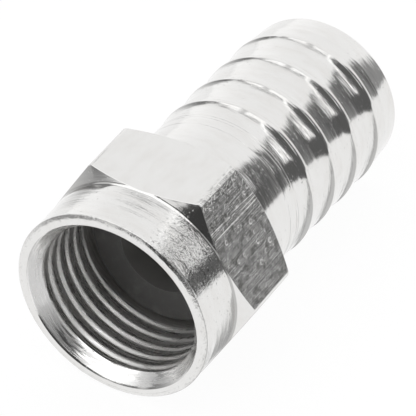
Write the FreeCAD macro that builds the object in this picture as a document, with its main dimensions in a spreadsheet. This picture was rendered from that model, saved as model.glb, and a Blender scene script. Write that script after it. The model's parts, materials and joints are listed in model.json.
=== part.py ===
import FreeCAD, Part
import math
import os
import Sketcher

# F connector for crimping on coaxial cable: a coupling nut that spins on the neck of a
# centre post, and a ribbed crimp sleeve pressed on the same post.
# Frame: +Z up, the nut's axis along Y with its mouth facing -Y, origin under the middle of
# the connector on the table it lies on. Millimetres.

doc = FreeCAD.newDocument("f_connector")

# Driving dimensions. Stations are measured along each piece's own axis, radii from it.
SIZES = [
    # coupling nut, stations from its mouth
    ("hex_af", 11.0),
    ("hex_corner_radius", 6.29),
    ("hex_face_radius", 5.5),
    ("hex_chamfer_deg", 30.0),
    ("hex_front", 2.88),
    ("nut_length", 7.2),
    ("collar_mouth_radius", 5.43),
    ("collar_root_radius", 5.47),
    ("collar_root_round", 0.3),
    ("mouth_chamfer_width", 0.16),
    ("mouth_chamfer_depth", 0.17),
    ("countersink_radius", 4.94),
    ("thread_radius", 4.37),
    ("thread_end", 4.55),
    ("relief_radius", 4.8),
    ("lip_thickness", 1.4),
    # centre post
    ("bore_radius", 2.4),
    ("flange_radius", 4.1),
    ("flange_thickness", 0.6),
    ("flange_chamfer", 0.1),
    ("neck_radius", 3.18),
    ("seat_radius", 3.0),
    ("tube_radius", 2.65),
    ("barb_radius", 2.88),
    ("barb_length", 0.9),
    ("tube_setback", 2.0),
    # crimp sleeve, ridge stations from its rear end
    ("sleeve_radius", 4.57),
    ("sleeve_inside_radius", 4.13),
    ("sleeve_front_wall", 2.0),
    ("sleeve_front_chamfer", 0.15),
    ("sleeve_rear_radius", 4.5),
    ("sleeve_rim_round", 0.14),
    ("sleeve_mouth_chamfer", 0.12),
    ("end_land", 1.33),
    ("ridge_count", 4),
    ("ridge_pitch", 2.33),
    ("ridge_radius", 4.68),
    ("ridge_rear_foot", 2.01),
    ("ridge_rear_flank", 0.28),
    ("ridge_crest", 0.1),
    ("ridge_front_flank", 0.3),
    ("ridge_ramp", 0.73),
    ("ridge_ramp_rise", 0.045),
    # fits, and how far the sleeve reaches behind the point where the post rests in the nut
    ("spin_clearance", 0.13),
    ("seat_gap", 0.02),
    ("face_gap", 0.02),
    ("sleeve_reach", 14.1),
]

# Derived sizes. The loose nut lies on one of its flats; the neck rests on the rear edge of
# the nut's lip, and the post and sleeve droop until a ridge or the rear rim meets the table.
DERIVED = [
    ("apothem", "hex_af / 2"),
    ("hex_slope", "tan(hex_chamfer_deg)"),
    ("lip_radius", "neck_radius + spin_clearance"),
    ("lip_front", "nut_length - lip_thickness"),
    ("countersink_depth", "countersink_radius - thread_radius"),
    ("relief_ramp", "relief_radius - thread_radius"),
    ("rest_height", "apothem - lip_radius + seat_gap"),
    ("crest_station", "sleeve_reach - ridge_rear_foot - ridge_rear_flank"),
    ("crest_step", "ridge_radius - neck_radius"),
    ("crest_chord", "sqrt(crest_station ^ 2 + crest_step ^ 2)"),
    ("crest_droop", "asin(rest_height / crest_chord) - atan(crest_step / crest_station)"),
    ("rim_station", "sleeve_reach - sleeve_rim_round"),
    ("rim_step", "sleeve_rear_radius - sleeve_rim_round - neck_radius"),
    ("rim_chord", "sqrt(rim_station ^ 2 + rim_step ^ 2)"),
    ("rim_droop", "asin((rest_height - sleeve_rim_round) / rim_chord) - atan(rim_step / rim_station)"),
    ("droop", "min(crest_droop; rim_droop)"),
    ("sleeve_gap", "(sleeve_radius - neck_radius) * tan(droop) + face_gap / cos(droop)"),
    ("flange_gap", "(lip_thickness + face_gap) / cos(droop) - lip_thickness"
                   " + (flange_radius + neck_radius) * tan(droop)"),
    ("neck_length", "lip_thickness + flange_gap + sleeve_gap"),
    ("shoulder", "flange_thickness + neck_length"),
    ("seat_end", "shoulder + sleeve_front_wall"),
    ("sleeve_length", "sleeve_reach - sleeve_gap"),
    ("tube_end", "shoulder + sleeve_length - tube_setback"),
    ("overall", "nut_length + neck_radius * sin(droop) + rim_station * cos(droop)"
                " + (sleeve_rear_radius - sleeve_rim_round) * sin(droop) + sleeve_rim_round"),
    ("mouth_y", "-overall / 2"),
    ("axis_y", "mouth_y + nut_length + neck_radius * sin(droop)"),
    ("axis_z", "rest_height + neck_radius * cos(droop)"),
    ("post_back", "flange_thickness + lip_thickness + flange_gap"),
]

sheet = doc.addObject("Spreadsheet::Sheet", "dims")
for row, (alias, value) in enumerate(SIZES + DERIVED, start=1):
    text = "=" + value if isinstance(value, str) else str(value)
    sheet.set("A%d" % row, alias)
    sheet.set("B%d" % row, text)
    sheet.setAlias("B%d" % row, alias)
doc.recompute()

SIZE_NAMES = [alias for alias, _ in SIZES + DERIVED]


def onSheet(formula):
    """Turn a formula over sheet names into an expression that other objects can use."""
    words = []
    word = ""
    for sign in formula + " ":
        if sign.isalnum() or sign == "_":
            word += sign
            continue
        words.append("dims." + word if word in SIZE_NAMES else word)
        words.append(sign)
        word = ""
    return "".join(words).strip()


def number(formula):
    """The present value of a formula over sheet names, as a plain number."""
    found = sheet.evalExpression(onSheet(formula))
    return float(getattr(found, "Value", found))


def planeOf(body, role):
    return [item for item in body.Origin.OriginFeatures if item.Role == role][0]


def newBody(name):
    body = doc.addObject("PartDesign::Body", name)
    body.Label = name
    return body


def newSketch(body, name, role):
    sketch = body.newObject("Sketcher::SketchObject", name)
    sketch.AttachmentSupport = [(planeOf(body, role), "")]
    sketch.MapMode = "FlatFace"
    return sketch


def tangentArc(before, corner, after, radius):
    """The arc that rounds a corner between two straight sides, and where it meets them."""
    toBefore = (before - corner).normalize()
    toAfter = (after - corner).normalize()
    halfAngle = toBefore.getAngle(toAfter) / 2
    start = corner + toBefore * (radius / math.tan(halfAngle))
    end = corner + toAfter * (radius / math.tan(halfAngle))
    middle = corner + (toBefore + toAfter).normalize() * (radius / math.sin(halfAngle))
    leftTurn = toBefore.cross(toAfter).z < 0
    first, last = (start, end) if leftTurn else (end, start)
    angles = [math.atan2(spot.y - middle.y, spot.x - middle.x) for spot in (first, last)]
    circle = Part.Circle(middle, FreeCAD.Vector(0, 0, 1), radius)
    return Part.ArcOfCircle(circle, *angles), start, end, leftTurn


def outline(body, name, corners):
    """A closed outline in the body's axial half plane, each corner tied to the sheet.

    A corner is a (radius, station) pair of formulas; one on the axis has radius "0".
    A third formula rounds the corner."""
    sketch = newSketch(body, name, "XZ_Plane")
    spots = [FreeCAD.Vector(number(corner[0]), number(corner[1]), 0) for corner in corners]
    count = len(corners)
    starts = list(spots)
    ends = spots[1:] + spots[:1]
    arcs = {}
    for index, corner in enumerate(corners):
        if len(corner) == 3:
            arc, ends[index - 1], starts[index], leftTurn = tangentArc(
                spots[index - 1], spots[index], spots[(index + 1) % count], number(corner[2]))
            arcs[index] = (arc, leftTurn)
    for start, end in zip(starts, ends):
        sketch.addGeometry(Part.LineSegment(start, end))
    for index, corner in enumerate(corners):
        before = (index - 1) % count
        if index in arcs:
            arc, leftTurn = arcs[index]
            rounding = sketch.addGeometry(arc)
            first, last = (1, 2) if leftTurn else (2, 1)
            sketch.addConstraint(Sketcher.Constraint("Tangent", before, 2, rounding, first))
            sketch.addConstraint(Sketcher.Constraint("Tangent", rounding, last, index, 1))
            size = sketch.addConstraint(Sketcher.Constraint("Radius", rounding, number(corner[2])))
            sketch.setExpression("Constraints[%d]" % size, onSheet(corner[2]))
            tip = sketch.addGeometry(Part.Point(spots[index]), True)
            sketch.addConstraint(Sketcher.Constraint("PointOnObject", tip, 1, before))
            sketch.addConstraint(Sketcher.Constraint("PointOnObject", tip, 1, index))
        else:
            tip = index
            sketch.addConstraint(Sketcher.Constraint("Coincident", before, 2, index, 1))
        for kind, formula, axis, value in (("DistanceX", corner[0], -2, spots[index].x),
                                           ("DistanceY", corner[1], -1, spots[index].y)):
            if formula == "0":
                sketch.addConstraint(Sketcher.Constraint("PointOnObject", tip, 1, axis))
                continue
            tied = sketch.addConstraint(Sketcher.Constraint(kind, -1, 1, tip, 1, value))
            sketch.setExpression("Constraints[%d]" % tied, onSheet(formula))
    return sketch


def turned(body, kind, name, sketch):
    """A full turn of an outline about the body's own axis: added or cut away."""
    feature = body.newObject("PartDesign::" + kind, name)
    feature.Profile = sketch
    feature.ReferenceAxis = (sketch, ["V_Axis"])
    feature.Angle = 360
    doc.recompute()
    return feature


def circleEdges(shape, radius, station):
    """Names of the full circles of one radius at one station along the body's axis."""
    near = 1e-4
    names = []
    for index, edge in enumerate(shape.Edges, start=1):
        if not isinstance(edge.Curve, Part.Circle):
            continue
        middle = edge.Curve.Center
        if abs(edge.Curve.Radius - radius) < near and abs(middle.z - station) < near:
            names.append("Edge%d" % index)
    return names


def roundOff(body, name, base, radius, station, size):
    feature = body.newObject("PartDesign::Fillet", name)
    feature.Base = (base, circleEdges(base.Shape, number(radius), number(station)))
    feature.setExpression("Radius", onSheet(size))
    doc.recompute()
    return feature


def layDown(body, y, z, tilt):
    """Turn the body's own axis from +Z to the row's +Y, drooping by the tilt, and place it."""
    body.Placement = FreeCAD.Placement(
        FreeCAD.Vector(0, 0, 0), FreeCAD.Rotation(FreeCAD.Vector(-1, 0, 0), 90))
    body.setExpression("Placement.Base.y", onSheet(y))
    body.setExpression("Placement.Base.z", onSheet(z))
    body.setExpression("Placement.Rotation.Angle", onSheet("90 deg + " + tilt))


# Coupling nut

def hexagon(body):
    """Six equal sides on a circle of corners, two of them square to the body's Y."""
    sketch = newSketch(body, "hex_outline", "XY_Plane")
    cornerRadius = number("hex_af / sqrt(3)")
    spots = [FreeCAD.Vector(cornerRadius * math.cos(math.radians(60 * side)),
                            cornerRadius * math.sin(math.radians(60 * side)), 0)
             for side in range(6)]
    for start, end in zip(spots, spots[1:] + spots[:1]):
        sketch.addGeometry(Part.LineSegment(start, end))
    ring = sketch.addGeometry(
        Part.Circle(FreeCAD.Vector(0, 0, 0), FreeCAD.Vector(0, 0, 1), cornerRadius), True)
    sketch.addConstraint(Sketcher.Constraint("Coincident", ring, 3, -1, 1))
    for side in range(6):
        sketch.addConstraint(Sketcher.Constraint("Coincident", side, 2, (side + 1) % 6, 1))
        sketch.addConstraint(Sketcher.Constraint("PointOnObject", side, 1, ring))
    for side in range(1, 6):
        sketch.addConstraint(Sketcher.Constraint("Equal", 0, side))
    sketch.addConstraint(Sketcher.Constraint("PointOnObject", 0, 1, -1))
    across = sketch.addConstraint(Sketcher.Constraint("Radius", ring, cornerRadius))
    sketch.setExpression("Constraints[%d]" % across, onSheet("hex_af / sqrt(3)"))
    return sketch


def couplingNut():
    nut = newBody("coupling_nut")
    bar = nut.newObject("PartDesign::Pad", "hex_bar")
    bar.Profile = hexagon(nut)
    bar.setExpression("Length", onSheet("nut_length"))
    doc.recompute()
    # The bar is turned: a round collar at the mouth, a cone at each end of the hexagon, and
    # its corners taken down to a cylinder. The tool's nose leaves a round at the collar's root.
    outside = outline(nut, "outside_outline", [
        ("collar_mouth_radius - mouth_chamfer_width", "0"),
        ("collar_mouth_radius", "mouth_chamfer_depth"),
        ("collar_root_radius", "hex_front", "collar_root_round"),
        ("hex_corner_radius", "hex_front + (hex_corner_radius - collar_root_radius) * hex_slope"),
        ("hex_corner_radius", "nut_length - (hex_corner_radius - hex_face_radius) * hex_slope"),
        ("hex_face_radius", "nut_length"),
        ("hex_af", "nut_length"),
        ("hex_af", "0"),
    ])
    outsideTurn = turned(nut, "Groove", "outside", outside)
    turnedVolume = outsideTurn.Shape.Volume
    # Countersink, thread at its crests, relief behind it, and the lip that holds the post.
    inside = outline(nut, "inside_outline", [
        ("0", "0"),
        ("countersink_radius", "0"),
        ("thread_radius", "countersink_depth"),
        ("thread_radius", "thread_end"),
        ("relief_radius", "thread_end + relief_ramp"),
        ("relief_radius", "lip_front"),
        ("lip_radius", "lip_front"),
        ("lip_radius", "nut_length"),
        ("0", "nut_length"),
    ])
    insideTurn = turned(nut, "Groove", "inside", inside)
    if not insideTurn.Shape.Volume < turnedVolume < bar.Shape.Volume:
        raise RuntimeError("the nut was not turned")
    layDown(nut, "mouth_y", "apothem", "0 deg")
    return nut


# Centre post, stations from the front of its flange

def centerPost():
    post = newBody("center_post")
    section = outline(post, "post_outline", [
        ("bore_radius", "0"),
        ("flange_radius - flange_chamfer", "0"),
        ("flange_radius", "flange_chamfer"),
        ("flange_radius", "flange_thickness"),
        ("neck_radius", "flange_thickness"),
        ("neck_radius", "shoulder"),
        ("seat_radius", "shoulder"),
        ("seat_radius", "seat_end"),
        ("tube_radius", "seat_end"),
        ("tube_radius", "tube_end - barb_length"),
        ("barb_radius", "tube_end - barb_length"),
        ("tube_radius", "tube_end"),
        ("bore_radius", "tube_end"),
    ])
    turned(post, "Revolution", "post_turning", section)
    layDown(post, "axis_y - post_back * cos(droop)", "axis_z + post_back * sin(droop)", "droop")
    return post


# Crimp sleeve, stations from its front face

def crimpSleeve():
    sleeve = newBody("crimp_sleeve")
    section = outline(sleeve, "sleeve_outline", [
        ("seat_radius", "0"),
        ("sleeve_radius - sleeve_front_chamfer", "0"),
        ("sleeve_radius", "sleeve_front_chamfer"),
        ("sleeve_radius", "sleeve_length - end_land"),
        ("sleeve_rear_radius", "sleeve_length"),
        ("sleeve_inside_radius + sleeve_mouth_chamfer", "sleeve_length"),
        ("sleeve_inside_radius", "sleeve_length - sleeve_mouth_chamfer"),
        ("sleeve_inside_radius", "sleeve_front_wall"),
        ("seat_radius", "sleeve_front_wall"),
    ])
    tube = turned(sleeve, "Revolution", "sleeve_turning", section)
    rim = roundOff(sleeve, "rear_rim", tube, "sleeve_rear_radius", "sleeve_length",
                   "sleeve_rim_round")
    # The last ridge: a slow ramp that steepens towards the crest, a narrow crest, and a
    # steeper flank down to the plain sleeve. Its foot sits inside the wall so that the two join.
    foot = "(sleeve_radius + sleeve_inside_radius) / 2"
    crestRear = "sleeve_length - ridge_rear_foot - ridge_rear_flank"
    crestFront = crestRear + " - ridge_crest"
    rampEnd = crestFront + " - ridge_front_flank"
    ridge = outline(sleeve, "ridge_outline", [
        (foot, rampEnd + " - ridge_ramp"),
        ("sleeve_radius", rampEnd + " - ridge_ramp"),
        ("sleeve_radius + ridge_ramp_rise", rampEnd),
        ("ridge_radius", crestFront),
        ("ridge_radius", crestRear),
        ("sleeve_radius", "sleeve_length - ridge_rear_foot"),
        (foot, "sleeve_length - ridge_rear_foot"),
    ])
    lastRidge = turned(sleeve, "Revolution", "last_ridge", ridge)
    ridges = sleeve.newObject("PartDesign::LinearPattern", "ridges")
    ridges.Originals = [lastRidge]
    ridges.Direction = (ridge, ["V_Axis"])
    ridges.Reversed = True
    ridges.setExpression("Occurrences", onSheet("ridge_count"))
    ridges.setExpression("Length", onSheet("ridge_pitch * (ridge_count - 1)"))
    sleeve.Tip = ridges
    doc.recompute()
    if ridges.Shape.Volume <= lastRidge.Shape.Volume or lastRidge.Shape.Volume <= rim.Shape.Volume:
        raise RuntimeError("a ridge of the sleeve is missing")
    layDown(sleeve, "axis_y + sleeve_gap * cos(droop)", "axis_z - sleeve_gap * sin(droop)", "droop")
    return sleeve


pieces = [couplingNut(), centerPost(), crimpSleeve()]
doc.recompute()

for item in doc.Objects:
    if "Invalid" in item.State or "Error" in item.State:
        raise RuntimeError("%s failed: %s" % (item.Name, item.State))
for piece in pieces:
    if piece.Shape.isNull() or not piece.Shape.isValid() or len(piece.Shape.Solids) != 1:
        raise RuntimeError("%s is not one valid solid" % piece.Label)

os.makedirs("parts", exist_ok=True)
for piece in pieces:
    piece.Shape.exportStep("parts/%s.step" % piece.Label)
    box = piece.Shape.optimalBoundingBox()
    print("%s: %.1f mm3, x %.3f to %.3f, y %.3f to %.3f, z %.3f to %.3f" % (
        piece.Label, piece.Shape.Volume, box.XMin, box.XMax, box.YMin, box.YMax, box.ZMin, box.ZMax))
print("droop %.3f degrees, overall %.3f mm" % (number("droop"), number("overall")))
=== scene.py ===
import json
import math

import bmesh
import bpy
from mathutils import Matrix, Vector, noise


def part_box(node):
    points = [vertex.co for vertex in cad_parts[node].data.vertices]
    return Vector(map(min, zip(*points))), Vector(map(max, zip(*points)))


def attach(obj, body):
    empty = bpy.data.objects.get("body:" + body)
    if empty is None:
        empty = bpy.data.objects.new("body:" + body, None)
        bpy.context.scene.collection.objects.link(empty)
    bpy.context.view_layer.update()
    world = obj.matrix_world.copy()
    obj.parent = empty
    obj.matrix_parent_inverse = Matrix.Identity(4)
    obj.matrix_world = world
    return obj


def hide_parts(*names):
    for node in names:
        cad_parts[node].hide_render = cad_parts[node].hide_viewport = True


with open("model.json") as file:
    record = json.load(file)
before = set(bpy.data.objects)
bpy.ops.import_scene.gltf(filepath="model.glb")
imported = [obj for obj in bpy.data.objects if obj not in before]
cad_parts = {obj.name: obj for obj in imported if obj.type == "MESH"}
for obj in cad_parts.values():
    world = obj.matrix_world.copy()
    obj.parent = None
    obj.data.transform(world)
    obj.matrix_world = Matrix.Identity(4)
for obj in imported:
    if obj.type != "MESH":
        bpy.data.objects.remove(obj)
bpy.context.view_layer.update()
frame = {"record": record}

mm = 0.001

# The F connector lies on a flat of its nut. Radii and stations are in millimetres along each
# piece's own axis: from the nut's mouth, the post's flange and the sleeve's front face.


def mountOf(name):
    return [mount for mount in frame["record"]["mounts"] if mount["name"] == name][0]


def placeOf(name):
    return Vector(mountOf(name)["pos_m"]) / mm


nutLow, nutHigh = (Vector(corner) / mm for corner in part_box("coupling_nut"))
mouth = Vector((0, nutLow.y, (nutLow.z + nutHigh.z) / 2))
nutDirection = Vector((0, 1, 0))
postDirection = Vector(mountOf("dielectric_bore")["axis"]).normalized()
boreLength = mountOf("dielectric_bore")["dims"]["length_mm"]
postFront = placeOf("dielectric_bore") - postDirection * boreLength / 2


def along(start, direction):
    # own +Z to the direction, own +X to the world's, then metres
    up = direction.cross(Vector((1, 0, 0))).normalized()
    turn = Matrix((Vector((1, 0, 0)), up, direction)).transposed().to_4x4()
    return Matrix.Scale(mm, 4) @ Matrix.Translation(start) @ turn


# Turned shapes

meshing = dict(
    arcStep=9,             # degrees between the points of a rounding
    merge=4e-4,            # millimetres between points that become one
    thinnest=1e-4,
    holeSides=24,
    sharpAngle=32,
    faceWeight=90,
    lean=(1.0, 0.7549, 0.5698),   # points are put in order along this
)


def roundedPath(corners, arcStep=meshing["arcStep"]):
    # each corner is radius, station and, where it is rounded, the rounding
    path = []
    for index, corner in enumerate(corners):
        here = Vector(corner[:2])
        if len(corner) == 2:
            path.append(here)
            continue
        back = (Vector(corners[index - 1][:2]) - here).normalized()
        ahead = (Vector(corners[(index + 1) % len(corners)][:2]) - here).normalized()
        half = back.angle(ahead) / 2
        centre = here + (back + ahead).normalized() * corner[2] / math.sin(half)
        first = here + back * corner[2] / math.tan(half) - centre
        turn = (here + ahead * corner[2] / math.tan(half) - centre).angle_signed(first)
        steps = max(2, math.ceil(abs(math.degrees(turn)) / arcStep))
        for step in range(steps + 1):
            path.append(centre + Matrix.Rotation(turn * step / steps, 2) @ first)
    return path


def spinPath(bm, path, steps, closed=False, rise=0.0):
    verts = [bm.verts.new((radius, 0, station)) for radius, station in path]
    pairs = list(zip(verts, verts[1:]))
    if closed:
        pairs.append((verts[-1], verts[0]))
    edges = [bm.edges.new(pair) for pair in pairs]
    bmesh.ops.spin(
        bm, geom=verts + edges, cent=(0, 0, 0), axis=(0, 0, 1), dvec=(0, 0, rise / steps),
        angle=math.tau, steps=steps, use_merge=not rise, use_duplicate=False)


def putInOrder(bm):
    # by place, so that the operators that follow give the same mesh each time
    lean = Vector(meshing["lean"])
    bm.verts.sort(key=lambda vert: vert.co.dot(lean))
    bm.edges.sort(key=lambda item: (item.verts[0].co + item.verts[1].co).dot(lean))
    bm.faces.sort(key=lambda face: face.calc_center_median().dot(lean))


def finishPiece(bm, name, start, direction, materials, node):
    putInOrder(bm)
    bmesh.ops.remove_doubles(bm, verts=bm.verts, dist=meshing["merge"])
    bmesh.ops.dissolve_degenerate(bm, dist=meshing["thinnest"], edges=bm.edges)
    rims = [item for item in bm.edges if item.is_boundary]
    bmesh.ops.holes_fill(bm, edges=rims, sides=meshing["holeSides"])
    bmesh.ops.recalc_face_normals(bm, faces=bm.faces)
    bmesh.ops.transform(bm, matrix=along(start, direction), verts=bm.verts)
    mesh = bpy.data.meshes.new(name)
    bm.to_mesh(mesh)
    bm.free()
    mesh.shade_smooth()
    mesh.set_sharp_from_angle(angle=math.radians(meshing["sharpAngle"]))
    for face in mesh.polygons:
        face.use_smooth = face.material_index == 0
    piece = bpy.data.objects.new(name, mesh)
    bpy.context.scene.collection.objects.link(piece)
    for material in materials:
        mesh.materials.append(material)
    weighted = piece.modifiers.new("flatNormals", "WEIGHTED_NORMAL")
    weighted.keep_sharp = True
    weighted.weight = meshing["faceWeight"]
    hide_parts(node)
    print(name, len(mesh.polygons), "faces")
    return piece


# Shader maths: a socket that takes part in Python expressions

class Field:
    def __init__(self, paint, socket):
        self.paint = paint
        self.socket = socket

    def math(self, operation, *others):
        return self.paint.maths(operation, self, *others)

    def __add__(self, other):
        return self.math("ADD", other)

    def __sub__(self, other):
        return self.math("SUBTRACT", other)

    def __rsub__(self, other):
        return self.paint.maths("SUBTRACT", other, self)

    def __mul__(self, other):
        return self.math("MULTIPLY", other)

    def __pow__(self, other):
        return self.math("POWER", other)

    def __abs__(self):
        return self.math("ABSOLUTE")

    __radd__ = __add__
    __rmul__ = __mul__

    def most(self, other):
        return self.math("MAXIMUM", other)

    def step(self, low, high):
        # 0 at low and 1 at high, smooth between; low may be the larger
        return self.paint.node("ShaderNodeMapRange", {"interpolation_type": "SMOOTHSTEP"}, {
            "Value": self, "From Min": low, "From Max": high})

    def band(self, low, high, soft):
        # 1 between low and high
        return self.step(low - soft, low) * self.step(high + soft, high)

    def toward(self, other, mask):
        # itself where the mask is 0, the other where it is 1
        return self + (other - self) * mask


class Paint:
    def __init__(self, tree):
        self.tree = tree
        tree.nodes.clear()

    def node(self, kind, settings=None, values=None, output=0):
        made = self.tree.nodes.new(kind)
        for name, value in (settings or {}).items():
            setattr(made, name, value)
        for name, value in (values or {}).items():
            if isinstance(value, Field):
                self.tree.links.new(value.socket, made.inputs[name])
            else:
                made.inputs[name].default_value = value
        return Field(self, made.outputs[output]) if made.outputs else None

    def maths(self, operation, *values):
        return self.node("ShaderNodeMath", {"operation": operation}, dict(enumerate(values)))

    def vector(self, operation, *values, output=0):
        values = dict(enumerate(values))
        return self.node("ShaderNodeVectorMath", {"operation": operation}, values, output)

    def dot(self, vector, direction):
        return self.vector("DOT_PRODUCT", vector, direction, output="Value")

    def split(self, vector):
        made = self.node("ShaderNodeSeparateXYZ", {}, {0: vector})
        return [Field(self, output) for output in made.socket.node.outputs]

    def mix(self, factor, first, second):
        values = {0: factor, 6: first, 7: second}
        return self.node("ShaderNodeMix", {"data_type": "RGBA"}, values, output=2)

    def own(self, start, direction):
        # the piece's own frame in millimetres: y along its axis from its first face
        place = self.node("ShaderNodeTexCoord", output="Object")
        return self.node("ShaderNodeMapping", {"vector_type": "TEXTURE"}, {
            "Vector": place, "Location": start * mm, "Scale": (mm, mm, mm),
            "Rotation": (math.asin(direction.z), 0, 0)})

    def grain(self, place, size, detail=2.0, roughness=0.5, shift=0.0):
        # size is the grain's length along x, y and z in millimetres
        spread = self.node("ShaderNodeMapping", {}, {
            "Vector": place, "Location": (shift, shift, shift),
            "Scale": [1 / length for length in size]})
        return self.node("ShaderNodeTexNoise", {}, {
            "Vector": spread, "Scale": 1.0, "Detail": detail, "Roughness": roughness}, output="Fac")


def newMaterial(name):
    material = bpy.data.materials.new(name)
    material.use_nodes = True
    return material, Paint(material.node_tree)


# Studio: a white backdrop behind, a soft light overhead and a lamp on the right, in a dark room.
# Azimuths are in degrees from +Y towards +X, elevations from the horizon, and a strength of 1 is
# white. A pair of values runs from none of a patch to all of it. Three are its two edges and how
# far both are softened.

studio = dict(
    floorRadius=0.26,      # metres
    floorSides=96,
    floorColour=(0.9, 0.9, 0.9, 1),
    floorGlow=0.92,        # how far the floor is seen as plain white
    floorLevel=1.03,
    upFromHorizon=(-4, -2),
    downFromHorizon=(-2, -4),
    # the dark room
    rightLevel=0.115,
    darkLevel=0.05,
    darkSide=(90, 110),
    rightPatch=0.45,       # a pale wall on the far right
    rightPatchSide=(97, 122, 6),
    rightPatchHeight=(-2, 50, 4),
    leftLow=1.0,
    leftHigh=0.18,
    leftFall=(22, -35),
    leftEnd=(-178, -150),
    leftPatch=0.6,         # a pale wall on the far left
    leftPatchSide=(-122, -80, 6),
    leftPatchHeight=(21, 45, 4),
    windowLevel=0.95,      # low behind the camera
    windowSide=(-130, -145),
    windowHeight=(-8, 24, 6),
    # the table, with the connector's own shade on it
    tableLevel=1.0,
    tableCore=0.38,
    tableShade=0.62,
    shadeEdge=(0.013, 0.948, 0.319),
    shadeLeft=(-40, -20),
    shadeRight=(130, 110),
    coreReach=(0.383, 0.359),
    shadeReach=(0.345, 0.305),
    # the backdrop
    backLeft=(-50, -53),   # azimuth + backSlope * elevation
    backSlope=0.14,
    backRight=(26.5, 23.5),
    backEdge=(0.21, 0.82, -0.534),   # its top edge is the plane at right angles to this
    backTop=(-0.01, 0.02),
    backRise=(0, 40),
    backLow=1.12,
    backHigh=1.0,
    gapLevel=0.3,          # between the backdrop and the light overhead
    marginLevel=0.3,       # grey margin right of the backdrop, low down
    marginSide=(20, 42, 3),
    marginSlope=0.55,
    marginEnd=(46, 42),
    # the light overhead, which begins at a different elevation on each side
    overheadLevel=1.3,
    overheadLeft=37.0,
    overheadRight=59.0,
    overheadBehind=50.0,
    overheadSoft=(-3, 3),
    overheadEdge=(-0.04, -0.075),
    rightward=(0, 60),
    behind=(80, 115),
    farLeft=(-160, -178),
    seamLevel=0.7,
    seamSide=(-34, -22, 2),
    seamHeight=(57, 72, 2),
    # the lamp
    lampLevel=1.5,
    lampSlope=0.78,
    lampLeft=(59.0, 63.0),   # azimuth + lampSlope * elevation
    lampRight=(70.5, 67.5),
    lampHeight=(19.0, 60, 1.5),
)


def makeWorld():
    world = bpy.data.worlds.new("studioWorld")
    bpy.context.scene.world = world
    world.use_nodes = True
    paint = Paint(world.node_tree)
    direction = paint.node("ShaderNodeTexCoord", output="Generated")
    x, y, z = paint.split(direction)
    azimuth = x.math("ARCTAN2", y) * (180 / math.pi)
    elevation = z.math("ARCSINE") * (180 / math.pi)

    def patch(side, height):
        return azimuth.band(*studio[side]) * elevation.band(*studio[height])

    dark = azimuth.step(*studio["darkSide"])
    level = studio["rightLevel"] + dark * (studio["darkLevel"] - studio["rightLevel"])
    level = level.toward(studio["rightPatch"], patch("rightPatchSide", "rightPatchHeight"))

    toShade = paint.dot(direction, studio["shadeEdge"])
    shaded = azimuth.step(*studio["shadeLeft"]) * azimuth.step(*studio["shadeRight"])
    core = toShade.step(*studio["coreReach"]) * shaded
    table = studio["tableLevel"] + core * (studio["tableCore"] - studio["tableLevel"])
    table = table.toward(studio["tableShade"], shaded * toShade.step(*studio["shadeReach"]))
    level = level.toward(table, elevation.step(*studio["downFromHorizon"]))

    slanted = azimuth + elevation * studio["backSlope"]
    fall = elevation.step(*studio["leftFall"])
    left = studio["leftHigh"] + fall * (studio["leftLow"] - studio["leftHigh"])
    leftSide = slanted.step(*studio["backLeft"]) * azimuth.step(*studio["leftEnd"])
    level = level.toward(left, leftSide)
    level = level.toward(studio["leftPatch"], patch("leftPatchSide", "leftPatchHeight"))
    window = azimuth.step(*studio["windowSide"]) * elevation.band(*studio["windowHeight"])
    level = level.toward(studio["windowLevel"], window)

    high = elevation.step(*studio["upFromHorizon"])
    cut = (azimuth + elevation * studio["marginSlope"]).step(*studio["marginEnd"])
    level = level.toward(studio["marginLevel"], azimuth.band(*studio["marginSide"]) * cut * high)
    edge = paint.dot(direction, studio["backEdge"])
    backdrop = slanted.step(*reversed(studio["backLeft"])) \
        * azimuth.step(*studio["backRight"]) * high
    rise = elevation.step(*studio["backRise"])
    white = studio["backLow"] + rise * (studio["backHigh"] - studio["backLow"])
    level = level.toward(studio["gapLevel"], backdrop)
    level = level.toward(white, backdrop * edge.step(*studio["backTop"]))

    farLeft = azimuth.step(*studio["farLeft"])
    rightward = azimuth.step(*studio["rightward"]).most(farLeft)
    behind = azimuth.step(*studio["behind"]).most(farLeft)
    leftHeight, rightHeight = studio["overheadLeft"], studio["overheadRight"]
    ceiling = leftHeight + rightward * (rightHeight - leftHeight)
    ceiling = ceiling + behind * (studio["overheadBehind"] - rightHeight)
    overhead = (elevation - ceiling).step(*studio["overheadSoft"]) \
        * edge.step(*studio["overheadEdge"])
    seam = patch("seamSide", "seamHeight")
    bright = studio["overheadLevel"] + seam * (studio["seamLevel"] - studio["overheadLevel"])
    level = level.toward(bright, overhead)

    reach = azimuth + elevation * studio["lampSlope"]
    lamp = reach.step(*studio["lampLeft"]) * reach.step(*studio["lampRight"]) \
        * elevation.band(*studio["lampHeight"])
    level = level.toward(studio["lampLevel"], lamp)
    seen = paint.node("ShaderNodeLightPath", output="Is Camera Ray")
    light = paint.node("ShaderNodeBackground", {}, {
        "Color": (1, 1, 1, 1), "Strength": level.toward(1.0, seen)})
    paint.node("ShaderNodeOutputWorld", {}, {"Surface": light})
    print("world ready")


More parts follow.
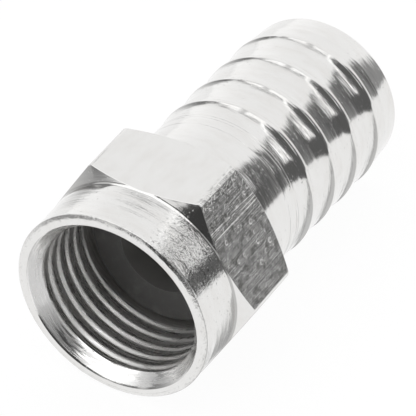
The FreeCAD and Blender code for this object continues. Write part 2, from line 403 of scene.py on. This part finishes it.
def makeFloor():
    bm = bmesh.new()
    bmesh.ops.create_circle(
        bm, cap_ends=True, segments=studio["floorSides"], radius=studio["floorRadius"])
    mesh = bpy.data.meshes.new("floor")
    bm.to_mesh(mesh)
    bm.free()
    floor = bpy.data.objects.new("floor", mesh)
    bpy.context.scene.collection.objects.link(floor)
    material, paint = newMaterial("palePaper")
    matt = paint.node("ShaderNodeBsdfDiffuse", {}, {"Color": studio["floorColour"]})
    glow = paint.node("ShaderNodeEmission", {}, {
        "Color": (1, 1, 1, 1), "Strength": studio["floorLevel"]})
    seen = paint.node("ShaderNodeLightPath", output="Is Camera Ray")
    paper = paint.node("ShaderNodeMixShader", {}, {0: seen * studio["floorGlow"], 1: matt, 2: glow})
    # metal sees the pale table of the world through it
    mirrored = Field(paint, seen.socket.node.outputs["Is Glossy Ray"])
    shading = Field(paint, seen.socket.node.outputs["Is Shadow Ray"])
    clear = paint.node("ShaderNodeBsdfTransparent")
    both = paint.node("ShaderNodeMixShader", {}, {0: mirrored.most(shading), 1: paper, 2: clear})
    paint.node("ShaderNodeOutputMaterial", {}, {"Surface": both})
    mesh.materials.append(material)
    print("floor ready")


# The camera stands where the photograph was taken from: a long lens, above and in front

camera = dict(
    elevation=39.72,
    heading=-30.27,        # degrees from +Y towards +X
    focalPixels=4000.0,
    framePixels=416.0,
    sensorWidth=36.0,
    mouthRight=-4.807,     # the mouth's centre in the camera's own frame, millimetres
    mouthDown=4.946,
    mouthAhead=197.58,
    nearest=0.01,          # metres
    farthest=10.0,
)


def makeCamera():
    tilt = math.radians(camera["elevation"])
    heading = math.radians(camera["heading"])
    level = Vector((math.sin(heading), math.cos(heading), 0))
    right = Vector((math.cos(heading), -math.sin(heading), 0))
    ahead = level * math.cos(tilt) - Vector((0, 0, math.sin(tilt)))
    down = ahead.cross(right)
    spot = mouth - right * camera["mouthRight"] - down * camera["mouthDown"] \
        - ahead * camera["mouthAhead"]
    data = bpy.data.cameras.new("camera")
    data.sensor_width = camera["sensorWidth"]
    data.lens = camera["sensorWidth"] * camera["focalPixels"] / camera["framePixels"]
    data.clip_start = camera["nearest"]
    data.clip_end = camera["farthest"]
    eye = bpy.data.objects.new("camera", data)
    turn = Matrix((right, -down, -ahead)).transposed().to_4x4()
    eye.matrix_world = Matrix.Translation(spot * mm) @ turn
    bpy.context.scene.collection.objects.link(eye)
    bpy.context.scene.camera = eye
    print("camera ready")


# Nickel plate. Heights are in thousandths of a millimetre and grain sizes in millimetres. A pair
# of values is where a mask is 0 and where it is 1, and three are the two edges of a band and how
# far both are softened.

nickel = dict(
    colour=(0.80, 0.795, 0.785, 1),
    cloud=(0.765, 0.755, 0.74, 1),
    cloudMask=(0.35, 0.75),
    tarnish=(0.46, 0.455, 0.44, 1),
    fleck=(0.16, 0.158, 0.152, 1),
    # painted shade: the darker, duller colour deep in the nut's recess
    recess=(0.5, 0.49, 0.475, 1),
    bright=(0.97, 0.965, 0.955, 1),
    # painted shade: the dark colours of the post's bore and flange
    bore=(0.24, 0.235, 0.228, 1),
    dull=(0.09, 0.088, 0.085, 1),
    # painted shade: the shaded places deep in the nut are also made less metallic
    dullMetal=-0.9,        # how much less metallic the dull places are
    height=1e-6,           # metres for a height of 1
)


def finishNickel(paint, colour, roughness, height, metallic=1.0):
    normal = paint.node("ShaderNodeBump", {}, {
        "Strength": 1.0, "Distance": nickel["height"], "Height": height}, output="Normal")
    metal = paint.node("ShaderNodeBsdfPrincipled", {}, {
        "Base Color": colour, "Metallic": metallic, "Roughness": roughness, "Normal": normal})
    paint.node("ShaderNodeOutputMaterial", {}, {"Surface": metal})


turned = dict(
    hairs=dict(size=(1.1, 0.075, 1.1)),
    hairHeight=3.6,
    hairRoughness=0.05,
    fine=dict(size=(0.25, 0.035, 0.25)),
    fineHeight=1.2,
    waves=dict(size=(2.6, 0.45, 2.6), detail=1.0),
    waveHeight=11.0,
    specks=dict(size=(0.16, 0.13, 0.16), detail=1.0),
    speckMask=(0.68, 0.8),
    speckHeight=5.0,
    clouds=dict(size=(1.6, 0.7, 1.6), detail=4.0, roughness=0.6),
    roughness=0.08,
    sleeveShift=11.0,
)


def turnedPlate(paint, place, shift):
    # fine turning marks run round the piece, on a surface that waves a little
    hairs = paint.grain(place, shift=shift, **turned["hairs"])
    fine = paint.grain(place, shift=shift, **turned["fine"])
    waves = paint.grain(place, shift=shift, **turned["waves"])
    specks = paint.grain(place, shift=shift, **turned["specks"])
    height = hairs * turned["hairHeight"] + fine * turned["fineHeight"] \
        + waves * turned["waveHeight"] + specks.step(*turned["speckMask"]) * turned["speckHeight"]
    clouds = paint.grain(place, shift=shift, **turned["clouds"])
    colour = paint.mix(clouds.step(*nickel["cloudMask"]), nickel["colour"], nickel["cloud"])
    roughness = hairs * turned["hairRoughness"] + turned["roughness"]
    return hairs, colour, roughness, height


def nickelSleeve(start, direction):
    material, paint = newMaterial("nickelSleeve")
    layers = turnedPlate(paint, paint.own(start, direction), turned["sleeveShift"])
    finishNickel(paint, *layers[1:])
    return material


# The nut's thread is bright and runs out into a recess painted dark and dull, a painted shade deep
# in the nut.
# Its collar is rubbed and pitted on one side, and torn along the mouth's edge.

nutWear = dict(
    insideRadius=(4.92, 4.85),
    # painted shade: where the darkening deep in the nut begins and where it is complete
    recessDepth=(4.3, 4.8),
    threadDepth=(0.3, 1.4),
    threadRoughness=0.1,
    insideRoughness=0.03,
    streaks=dict(size=(1.5, 0.16, 1.5), detail=3.0, shift=6.0),
    streakMask=(0.42, 0.58),
    streakRoughness=0.16,
    streakHeight=6.0,
    mouthDepth=(1.2, 0.9),
    mouthHairs=3.5,
    rubbedToward=(math.cos(math.radians(48)), 0, math.sin(math.radians(48))),
    rubbedReach=(4.95, 5.3),   # measured that way from the nut's axis
    rubbedBand=(0.4, 2.8, 0.3),
    tornRadius=(5.14, 5.22),
    tornDepth=(0.3, 0.16),
    pits=dict(size=(0.13, 0.15, 0.13), detail=3.0, roughness=0.6, shift=4.0),
    rubbedPits=12.0,
    tornPits=26.0,
    flecks=dict(size=(0.3, 0.22, 0.3), detail=5.0, roughness=0.8, shift=8.0),
    fleckMask=(0.53, 0.66),
    rubbedFlecks=0.8,
    tornFlecks=0.25,
)


def nickelNut(start, direction):
    material, paint = newMaterial("nickelNut")
    place = paint.own(start, direction)
    hairs, colour, roughness, height = turnedPlate(paint, place, 0.0)
    x, y, z = paint.split(place)
    radius = (x ** 2 + z ** 2) ** 0.5
    inside = radius.step(*nutWear["insideRadius"])
    # painted shade: the recess deep in the nut is darker and less metallic
    recess = inside * y.step(*nutWear["recessDepth"])
    colour = paint.mix(inside, colour, nickel["bright"])
    colour = paint.mix(recess, colour, nickel["recess"])
    # the tool left broken bright streaks along the thread
    streaks = paint.grain(place, **nutWear["streaks"])
    roughness = roughness + inside * (
        y.step(*nutWear["threadDepth"]) * nutWear["threadRoughness"]
        + streaks.step(*nutWear["streakMask"]) * nutWear["streakRoughness"]
        + nutWear["insideRoughness"])
    height = height + inside * (y.step(*nutWear["mouthDepth"]) * hairs * nutWear["mouthHairs"]
                                + streaks * nutWear["streakHeight"])
    rubbed = paint.dot(place, nutWear["rubbedToward"]).step(*nutWear["rubbedReach"]) \
        * y.band(*nutWear["rubbedBand"])
    torn = radius.step(*nutWear["tornRadius"]) * y.step(*nutWear["tornDepth"])
    pits = paint.grain(place, **nutWear["pits"])
    height = height + pits * (rubbed * nutWear["rubbedPits"] + torn * nutWear["tornPits"])
    flecks = paint.grain(place, **nutWear["flecks"]).step(*nutWear["fleckMask"])
    flecks = flecks * (rubbed * nutWear["rubbedFlecks"] + torn * nutWear["tornFlecks"])
    colour = paint.mix(flecks, colour, nickel["fleck"])
    metallic = recess.math("MULTIPLY_ADD", nickel["dullMetal"], 1.0)
    finishNickel(paint, colour, roughness, height, metallic)
    return material


postWear = dict(
    marks=dict(size=(0.06, 0.08, 1.0), detail=3.0),
    markHeight=5.0,
    clouds=dict(size=(0.9, 0.9, 0.9), detail=4.0, roughness=0.65),
    cloudMask=(0.45, 0.8),
    cloudColour=0.3,
    cloudHeight=8.0,
    cloudRoughness=0.1,
    boreSkin=(0.02, 0.005),    # beyond the bore's radius
    # painted shade on the flange end and in the bore: where it begins and where it is complete
    stainDepth=(1.6, 0.8),
    roughness=0.15,
    stainRoughness=0.35,
)


def nickelPost(start, direction):
    # painted shade: dark and dull on the flange and down the bore, for the shade inside the nut;
    # bright behind
    material, paint = newMaterial("nickelPost")
    place = paint.own(start, direction)
    x, y, z = paint.split(place)
    radius = (x ** 2 + z ** 2) ** 0.5
    rings = paint.node("ShaderNodeCombineXYZ", {}, {0: radius, 1: y, 2: 0.0})
    marks = paint.grain(rings, **postWear["marks"])
    clouds = paint.grain(place, **postWear["clouds"])
    inside = radius.step(*[post["bore"] + skin for skin in postWear["boreSkin"]])
    # painted shade: the flange end and the bore are darkened and dulled
    shadeMask = y.step(*postWear["stainDepth"]).most(inside)
    cloudy = clouds.step(*postWear["cloudMask"]) * postWear["cloudColour"]
    dull = paint.mix(cloudy, nickel["dull"], nickel["bore"])
    dull = paint.mix(inside, dull, nickel["bore"])
    colour = paint.mix(shadeMask, nickel["colour"], dull)
    roughness = clouds * postWear["cloudRoughness"] + shadeMask * postWear["stainRoughness"] \
        + postWear["roughness"]
    height = marks * postWear["markHeight"] + clouds * postWear["cloudHeight"]
    metallic = shadeMask.math("MULTIPLY_ADD", nickel["dullMetal"], 1.0)
    finishNickel(paint, colour, roughness, height, metallic)
    return material


# The nut's flats. The worn flat faces the lower right; its marks are given across it, upwards
# from its middle, and along the nut from the mouth.

flats = dict(
    wornOutward=(math.cos(math.radians(30)), 0, 0.5),
    wornUp=(-0.5, 0, math.cos(math.radians(30))),
    wornReach=(5.2, 5.3),      # measured that way from the nut's axis
    streaks=dict(size=(0.06, 2.2, 0.06), detail=3.0),
    streakHeight=2.0,
    wornStreaks=2.8,
    streakRoughness=0.06,
    waves=dict(size=(0.5, 3.0, 0.5), detail=1.0),
    waveHeight=5.0,
    flakes=dict(size=(0.26, 0.3, 0.26), detail=1.5, shift=3.0),
    flakeMask=(0.6, 0.66),
    flakeHeight=0.5,
    specks=dict(size=(0.11, 0.13, 0.11), detail=1.0, shift=9.0),
    speckMask=(0.66, 0.76),
    speckHeight=3.0,
    beatenUp=(0.8, 2.4),   # the worn flat is beaten, most of all near its top edge
    beatenTop=3.4,
    beatenLeast=1.2,
    nicks=dict(size=(0.2, 0.24, 0.2), detail=1.5, shift=7.0),
    nickMask=(0.52, 0.62),
    nickUp=(2.6, 2.9),
    nickHeight=15.0,
    clouds=dict(size=(0.7, 1.6, 0.7), detail=4.0, roughness=0.6),
    stains=dict(size=(0.45, 0.5, 0.45), detail=3.0, shift=5.0),
    stainMask=(0.45, 0.7),
    roughness=0.09,
    wornRoughness=0.05,
    scratchWidth=0.035,
    scratchDepth=7.0,
    scratchEnd=0.15,
    scratches=[            # across, along, across, along
        (1.60, 3.08, 1.53, 4.73), (1.18, 3.21, 1.11, 7.15),
        (1.58, 5.37, 1.46, 7.20), (1.30, 5.82, 1.29, 7.15),
    ],
    pitSteepness=260.0,    # depth for each millimetre of radius
    pits=[                 # across, along, radius
        (0.48, 5.98, 0.15), (1.99, 6.90, 0.14), (0.69, 3.77, 0.14), (0.21, 5.14, 0.08),
        (-0.06, 5.19, 0.07), (-0.44, 5.21, 0.1), (-0.52, 4.50, 0.11), (-0.54, 3.94, 0.12),
        (-1.29, 6.03, 0.13), (-1.04, 6.59, 0.15), (-0.45, 6.60, 0.08), (-0.06, 5.84, 0.08),
        (0.81, 5.05, 0.08), (-1.54, 5.37, 0.16), (-0.32, 3.19, 0.09), (-0.93, 3.90, 0.08),
        (-0.57, 5.80, 0.14), (-1.41, 6.68, 0.09), (1.65, 5.97, 0.08), (1.96, 3.73, 0.07),
        (-1.61, 6.10, 0.06), (3.05, 4.09, 0.14), (3.01, 4.78, 0.09), (3.12, 5.75, 0.09),
        (3.10, 6.03, 0.09), (2.71, 5.31, 0.07), (2.84, 5.17, 0.07), (3.08, 3.48, 0.08),
        (2.61, 3.86, 0.07), (3.12, 5.41, 0.07), (2.88, 6.19, 0.07), (2.79, 3.38, 0.06),
        (3.10, 5.14, 0.07), (3.02, 4.45, 0.08), (1.85, 6.49, 0.1), (1.85, 5.99, 0.09),
    ],
)


def nickelFlats(start, direction):
    # milled: streaks along the nut, and on the worn flat pits, scratches and nicks
    material, paint = newMaterial("nickelFlats")
    place = paint.own(start, direction)
    y = paint.split(place)[1]
    worn = paint.dot(place, flats["wornOutward"]).step(*flats["wornReach"])
    up = paint.dot(place, flats["wornUp"])
    streaks, waves, flakes, specks, nicks, clouds, stains = [
        paint.grain(place, **flats[name])
        for name in ("streaks", "waves", "flakes", "specks", "nicks", "clouds", "stains")]
    beaten = worn * (up.step(*flats["beatenUp"]) * flats["beatenTop"] + flats["beatenLeast"])
    height = streaks * (flats["streakHeight"] + worn * flats["wornStreaks"]) \
        + waves * flats["waveHeight"] \
        - flakes.step(*flats["flakeMask"]) * (flats["flakeHeight"] + beaten) \
        - specks.step(*flats["speckMask"]) * beaten * flats["speckHeight"]
    nicked = worn * up.step(*flats["nickUp"]) * nicks.step(*flats["nickMask"])
    height = height - nicked * flats["nickHeight"]
    marks = 0.0
    for lowUp, lowAlong, highUp, highAlong in flats["scratches"]:
        slant = (highUp - lowUp) / (highAlong - lowAlong)
        off = abs(up - (y - lowAlong) * slant - lowUp)
        ends = y.band(lowAlong, highAlong, flats["scratchEnd"])
        marks = off.step(flats["scratchWidth"], 0.0) * ends * flats["scratchDepth"] + marks
    for middleUp, middleAlong, size in flats["pits"]:
        away = ((up - middleUp) ** 2 + (y - middleAlong) ** 2) ** 0.5
        marks = away.step(size, size / 2) * (flats["pitSteepness"] * size) + marks
    height = height - marks * worn
    colour = paint.mix(clouds.step(*nickel["cloudMask"]), nickel["colour"], nickel["cloud"])
    colour = paint.mix(stains.step(*flats["stainMask"]) * worn, colour, nickel["tarnish"])
    roughness = streaks * flats["streakRoughness"] + worn * flats["wornRoughness"] \
        + flats["roughness"]
    finishNickel(paint, colour, roughness, height)
    return material


# Coupling nut

nut = dict(
    cornerRadius=nutHigh.x,
    apothem=(nutHigh.z - nutLow.z) / 2,
    length=nutHigh.y - nutLow.y,
    rearFace=5.5,
    hexFront=2.88,
    slope=math.tan(math.radians(30)),
    collarMouth=5.465,
    collarWaist=5.43,
    waistStation=0.95,
    collarRoot=5.47,
    collarRound=0.22,
    waistRound=4.0,
    mouthWidth=0.16,
    mouthDepth=0.12,
    mouthRound=0.07,
    rimRound=0.1,
    sinkRound=0.04,
    rearRound=0.05,
    countersink=4.94,
    threadCrest=mountOf("port_thread")["dims"]["r_mm"],
    threadRoot=4.48,
    pitch=25.4 / 32,
    crestWidth=0.26,
    rootWidth=0.14,
    crestRound=0.26,
    rootRound=0.2,
    threadStart=-1.6,      # in pitches from the mouth
    threadSpare=2,         # turns swept beyond what the depth needs
    threadMargin=1.0,      # millimetres
    threadArc=20,          # degrees between the points of its roundings
    threadEnd=4.55,
    relief=4.8,
    reliefRound=0.12,
    lipFront=5.8,
    lipRadius=3.31,
    edge=0.03,             # how far the sharp edges are broken
    flatEdge=0.02,
    flatSegments=3,
    lead=0.06,             # a short chamfer, then a longer taper into the thread
    leadSlope=0.75,
    burr=0.03,             # the tool left a slightly ragged edge round the mouth
    burrReach=0.07,
    burrGrain=3.1,
    burrFine=9.5,
    burrSide=4.3,
    near=1e-4,             # millimetres, for picking and merging points
    planeNear=1e-5,
    cutMerge=3e-3,
    bevelMerge=1e-3,
    steps=240,
)


def threadOut():
    # the station where the thread has run out to the relief
    return nut["threadEnd"] + nut["relief"] - nut["threadCrest"]


def nutShell(bm):
    # from the countersink, over the outside, round the lip and back to the relief
    edge = nut["edge"]
    cone = (nut["cornerRadius"] - nut["collarRoot"]) * nut["slope"]
    rearCone = (nut["cornerRadius"] - nut["rearFace"]) * nut["slope"]
    burrRadius = nut["collarMouth"] - nut["mouthWidth"]
    path = roundedPath([
        (nut["countersink"] - edge, edge),
        (nut["countersink"], 0.0, nut["sinkRound"]),
        (burrRadius, 0.0, nut["rimRound"]),
        (nut["collarMouth"], nut["mouthDepth"], nut["mouthRound"]),
        (nut["collarWaist"], nut["waistStation"], nut["waistRound"]),
        (nut["collarRoot"], nut["hexFront"], nut["collarRound"]),
        (nut["cornerRadius"], nut["hexFront"] + cone),
        (nut["cornerRadius"], nut["length"] - rearCone),
        (nut["rearFace"], nut["length"], nut["rearRound"]),
        (nut["lipRadius"], nut["length"], edge),
        (nut["lipRadius"], nut["lipFront"], edge),
        (nut["relief"], nut["lipFront"], nut["reliefRound"]),
        (nut["relief"], threadOut()),
    ])
    spinPath(bm, path, nut["steps"])
    for vert in bm.verts:
        gap = Vector((vert.co.xy.length - burrRadius, vert.co.z)).length
        ragged = math.exp(-(gap / nut["burrReach"]) ** 2) * nut["burr"]
        vert.co.z += ragged * (noise.noise(vert.co * nut["burrGrain"])
                               + noise.noise(vert.co * nut["burrFine"]))
        vert.co.xy *= 1 + ragged * noise.noise(vert.co * nut["burrSide"]) / burrRadius
    for side in range(6):
        putInOrder(bm)
        outward = Matrix.Rotation(math.radians(30 + 60 * side), 3, "Z") @ Vector((1, 0, 0))
        bmesh.ops.bisect_plane(
            bm, geom=bm.verts[:] + bm.edges[:] + bm.faces[:], dist=nut["planeNear"],
            plane_co=outward * nut["apothem"], plane_no=outward, clear_outer=True)
        rim = [item for item in bm.edges if item.is_boundary and all(
            abs(corner.co.dot(outward) - nut["apothem"]) < nut["near"] for corner in item.verts)]
        bmesh.ops.edgeloop_fill(bm, edges=rim, mat_nr=1)
    putInOrder(bm)
    bmesh.ops.remove_doubles(bm, verts=bm.verts, dist=nut["cutMerge"])
    putInOrder(bm)
    sides = [face for face in bm.faces if face.material_index == 1]
    rims = [item for item in bm.edges if any(face.material_index == 1 for face in item.link_faces)]
    bmesh.ops.bevel(
        bm, geom=rims, offset=nut["flatEdge"], offset_type="OFFSET",
        segments=nut["flatSegments"], profile=0.5, affect="EDGES", clamp_overlap=False, material=0)
    putInOrder(bm)
    bmesh.ops.remove_doubles(bm, verts=bm.verts, dist=nut["bevelMerge"])
    bmesh.ops.poke(bm, faces=[face for face in bm.faces if face.material_index == 1])
    print("flats", len(sides))


def nutThread(bm):
    # the tooth profile, a point at each corner of every turn, swept along the helix and then
    # trimmed by the countersink and the relief
    flank = (nut["pitch"] - nut["crestWidth"] - nut["rootWidth"]) / 2
    turns = math.ceil((nut["threadEnd"] + nut["threadMargin"]) / nut["pitch"]) \
        + nut["threadSpare"]
    corners = []
    for turn in range(turns):
        crestEnd = (turn + nut["threadStart"]) * nut["pitch"] + nut["crestWidth"]
        corners += [
            (nut["threadCrest"], crestEnd - nut["crestWidth"], nut["crestRound"]),
            (nut["threadCrest"], crestEnd, nut["crestRound"]),
            (nut["threadRoot"], crestEnd + flank, nut["rootRound"]),
            (nut["threadRoot"], crestEnd + flank + nut["rootWidth"], nut["rootRound"]),
        ]
    # both ends of the swept path stay unrounded
    corners = [corners[1][:2]] + corners[2:-2] + [corners[-2][:2]]
    before = set(bm.verts)
    spinPath(bm, roundedPath(corners, nut["threadArc"]), nut["steps"], rise=nut["pitch"])
    thread = [vert for vert in bm.verts if vert not in before]
    for vert in thread:
        vert.co.z = min(max(vert.co.z, nut["edge"]), threadOut())
        radius = vert.co.xy.length
        taper = nut["countersink"] - min(vert.co.z, nut["lead"]) \
            - max(0.0, vert.co.z - nut["lead"]) * nut["leadSlope"]
        wanted = max(radius, taper, nut["threadCrest"] + vert.co.z - nut["threadEnd"])
        vert.co.xy *= wanted / radius
    bmesh.ops.remove_doubles(bm, verts=thread, dist=nut["near"])


def makeNut():
    bm = bmesh.new()
    nutShell(bm)
    nutThread(bm)
    plates = [nickelNut(mouth, nutDirection), nickelFlats(mouth, nutDirection)]
    return finishPiece(bm, "nut_dressed", mouth, nutDirection, plates, "coupling_nut")


# Centre post

post = dict(
    bore=2.4,
    flange=4.1,
    flangeThickness=0.6,
    flangeChamfer=0.1,
    neck=3.18,
    shoulder=2.567,
    seat=3.0,
    seatEnd=4.567,
    tube=2.65,
    barb=2.88,
    barbLength=0.9,
    edge=0.03,
    steps=160,
)


def makePost():
    bm = bmesh.new()
    edge = post["edge"]
    end = boreLength
    path = roundedPath([
        (post["bore"], 0.0, edge),
        (post["flange"] - post["flangeChamfer"], 0.0, edge),
        (post["flange"], post["flangeChamfer"], edge),
        (post["flange"], post["flangeThickness"], edge),
        (post["neck"], post["flangeThickness"]),
        (post["neck"], post["shoulder"]),
        (post["seat"], post["shoulder"]),
        (post["seat"], post["seatEnd"]),
        (post["tube"], post["seatEnd"]),
        (post["tube"], end - post["barbLength"]),
        (post["barb"], end - post["barbLength"], edge),
        (post["tube"], end, edge),
        (post["bore"], end, edge),
    ])
    spinPath(bm, path, post["steps"], closed=True)
    plates = [nickelPost(postFront, postDirection)]
    return finishPiece(bm, "post_dressed", postFront, postDirection, plates, "center_post")


# Crimp sleeve

sleeve = dict(
    seat=3.0,
    outside=4.57,
    inside=4.13,
    frontWall=2.0,
    frontChamfer=0.15,
    faceRound=0.05,
    shoulderRound=0.1,
    rear=4.47,
    rimRound=0.14,
    mouthChamfer=0.12,
    mouthRound=0.03,
    insideRound=0.05,
    endLand=1.33,
    landRound=0.5,
    ridges=4,
    ridgePitch=2.33,
    ridgeTop=4.68,
    ridgeFoot=2.01,
    footRound=0.1,
    rearFlank=0.2,
    crestRearRound=0.15,
    crest=0.18,
    crestFrontRound=0.3,
    frontFlank=0.32,
    rampEndRound=2.2,
    ramp=0.72,
    rampRise=0.03,
    rampStartRound=1.0,
    toolMarks=(2.49, 3.14, 3.34),
    markWidth=0.06,
    markDepth=0.005,
    markRound=0.05,
    arcStep=6,
    steps=240,
)


def makeSleeve():
    front = postFront + postDirection * post["shoulder"]
    length = (placeOf("cable_entry") - front).length + sleeve["mouthChamfer"]
    outside = sleeve["outside"]
    corners = [
        (sleeve["seat"], 0.0),
        (outside - sleeve["frontChamfer"], 0.0, sleeve["faceRound"]),
        (outside, sleeve["frontChamfer"], sleeve["shoulderRound"]),
    ]
    for station in sleeve["toolMarks"]:
        corners += [
            (outside, station - sleeve["markWidth"] / 2, sleeve["markRound"]),
            (outside - sleeve["markDepth"], station, sleeve["markRound"]),
            (outside, station + sleeve["markWidth"] / 2, sleeve["markRound"]),
        ]
    for ridge in range(sleeve["ridges"] - 1, -1, -1):
        foot = length - sleeve["ridgeFoot"] - ridge * sleeve["ridgePitch"]
        crestRear = foot - sleeve["rearFlank"]
        crestFront = crestRear - sleeve["crest"]
        rampEnd = crestFront - sleeve["frontFlank"]
        corners += [
            (outside, rampEnd - sleeve["ramp"], sleeve["rampStartRound"]),
            (outside + sleeve["rampRise"], rampEnd, sleeve["rampEndRound"]),
            (sleeve["ridgeTop"], crestFront, sleeve["crestFrontRound"]),
            (sleeve["ridgeTop"], crestRear, sleeve["crestRearRound"]),
            (outside, foot, sleeve["footRound"]),
        ]
    corners += [
        (outside, length - sleeve["endLand"], sleeve["landRound"]),
        (sleeve["rear"], length, sleeve["rimRound"]),
        (sleeve["inside"] + sleeve["mouthChamfer"], length, sleeve["mouthRound"]),
        (sleeve["inside"], length - sleeve["mouthChamfer"], sleeve["insideRound"]),
        (sleeve["inside"], sleeve["frontWall"]),
        (sleeve["seat"], sleeve["frontWall"]),
    ]
    bm = bmesh.new()
    spinPath(bm, roundedPath(corners, sleeve["arcStep"]), sleeve["steps"], closed=True)
    plates = [nickelSleeve(front, postDirection)]
    return finishPiece(bm, "sleeve_dressed", front, postDirection, plates, "crimp_sleeve")


makeWorld()
makeFloor()
makeCamera()
nutPiece = makeNut()
postPiece = makePost()
sleevePiece = makeSleeve()
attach(nutPiece, "nut")
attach(postPiece, "post_and_sleeve")
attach(sleevePiece, "post_and_sleeve")

bpy.context.scene.view_settings.view_transform = "Standard"
